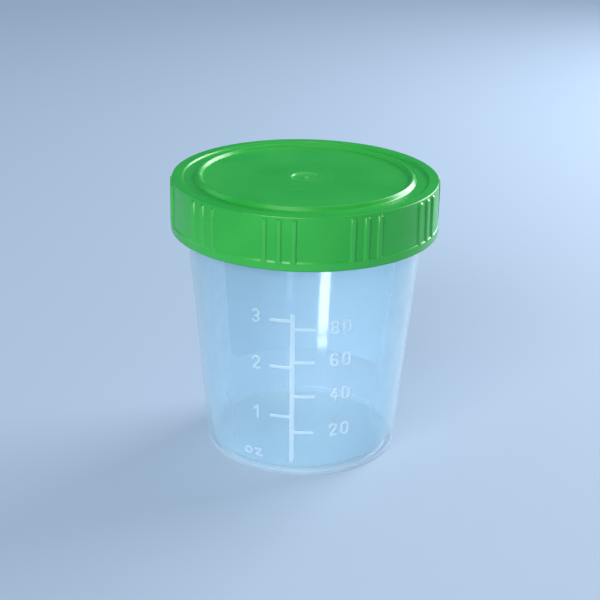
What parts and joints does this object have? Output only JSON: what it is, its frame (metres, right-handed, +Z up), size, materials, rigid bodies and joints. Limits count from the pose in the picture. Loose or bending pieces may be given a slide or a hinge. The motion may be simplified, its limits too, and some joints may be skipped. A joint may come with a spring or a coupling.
{
  "type": "urine specimen cup",
  "caption": "Clear graduated wide-mouth specimen cup with a tapered wall, a soft seal ring and a ribbed screw lid that turns and rises on its thread.",
  "frame": {"origin": "centre of the foot ring, on the surface that the cup stands on", "axes": "+Z up the cup's axis, -Y towards the graduations, +X to the right of the graduations as they are read"},
  "size_m": [0.0672, 0.0674, 0.072],
  "materials": {
    "clear_polypropylene": "translucent natural polypropylene, glossy outside, faintly milky",
    "seal_foam": "soft white foamed polyethylene",
    "green_polyethylene": "satin green moulded polyethylene"
  },
  "bodies": {
    "cup": {"cup": "clear_polypropylene"},
    "seal": {"seal_ring": "seal_foam"},
    "lid": {"lid": "green_polyethylene"}
  },
  "joints": [
    {"name": "lid_rise", "type": "slide", "parent": "cup", "child": "seal", "axis": [0, 0, 1], "range_m": [0, 0.013]},
    {"name": "lid_turn", "type": "hinge", "parent": "seal", "child": "lid", "pos_m": [0, 0, 0.0687], "axis": [0, 0, 1], "range_deg": [0, 1170]}
  ],
  "couplings": [
    {"joint": "lid_rise", "follows": "lid_turn", "m_per_rad": 0.00063662}
  ]
}
